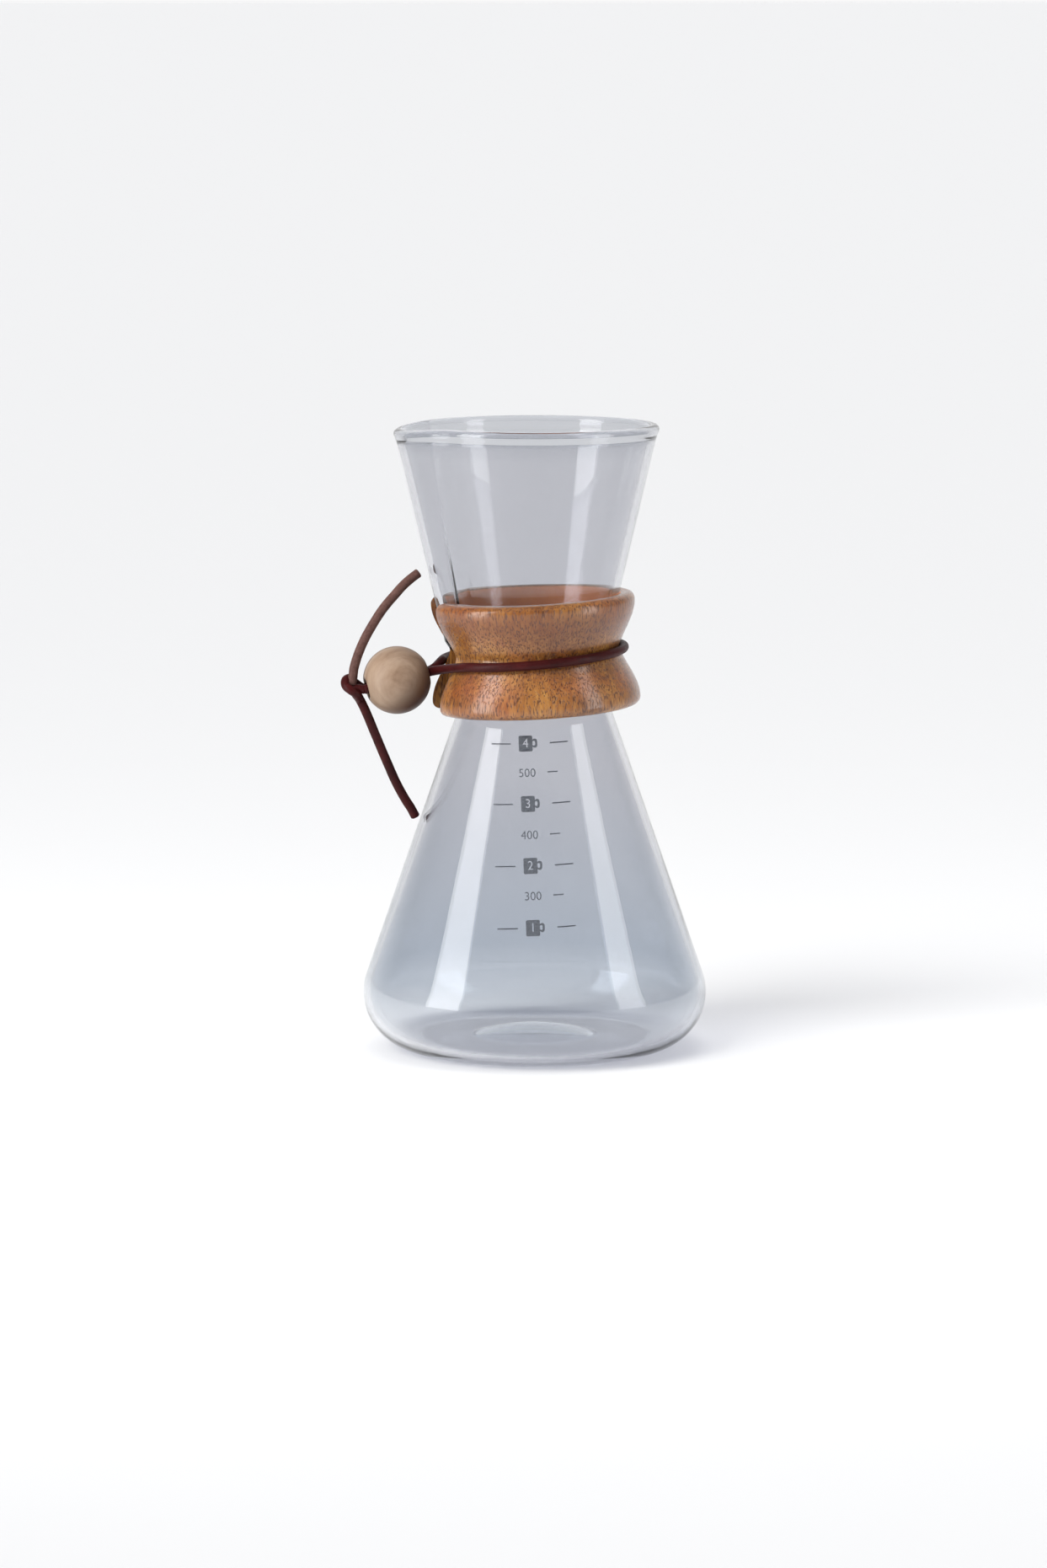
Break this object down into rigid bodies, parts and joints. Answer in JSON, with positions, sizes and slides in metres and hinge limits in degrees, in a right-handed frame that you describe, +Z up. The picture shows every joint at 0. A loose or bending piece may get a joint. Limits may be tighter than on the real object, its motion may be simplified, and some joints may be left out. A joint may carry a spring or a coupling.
{
  "type": "pour over coffee carafe",
  "caption": "Hourglass glass pour over dripper and server in one piece, with a split wooden collar tied by a leather thong through a bead.",
  "frame": {"origin": "centre of the glass base, on the surface that it stands on", "axes": "+Z up along the axis of the glass; the spout, the open seam of the collar and the bead point to -X; the printed scale is on the -Y side"},
  "size_m": [0.119, 0.111, 0.202],
  "materials": {
    "glass": "clear blown glass, polished",
    "collar_wood": "varnished, glossy",
    "bead_wood": "sanded, matte",
    "thong_leather": "round leather cord, satin"
  },
  "bodies": {
    "carafe": {"glass_carafe": "glass", "collar_front": "collar_wood", "collar_back": "collar_wood", "thong_wrap": "thong_leather", "thong_knot": "thong_leather", "thong_tail_upper": "thong_leather", "thong_tail_lower": "thong_leather"},
    "bead": {"bead": "bead_wood"}
  },
  "joints": [
    {"name": "bead_spin", "type": "hinge", "parent": "carafe", "child": "bead", "pos_m": [-0.045, 0, 0.1204], "axis": [0.9703, 0, 0.2419], "continuous": true}
  ]
}
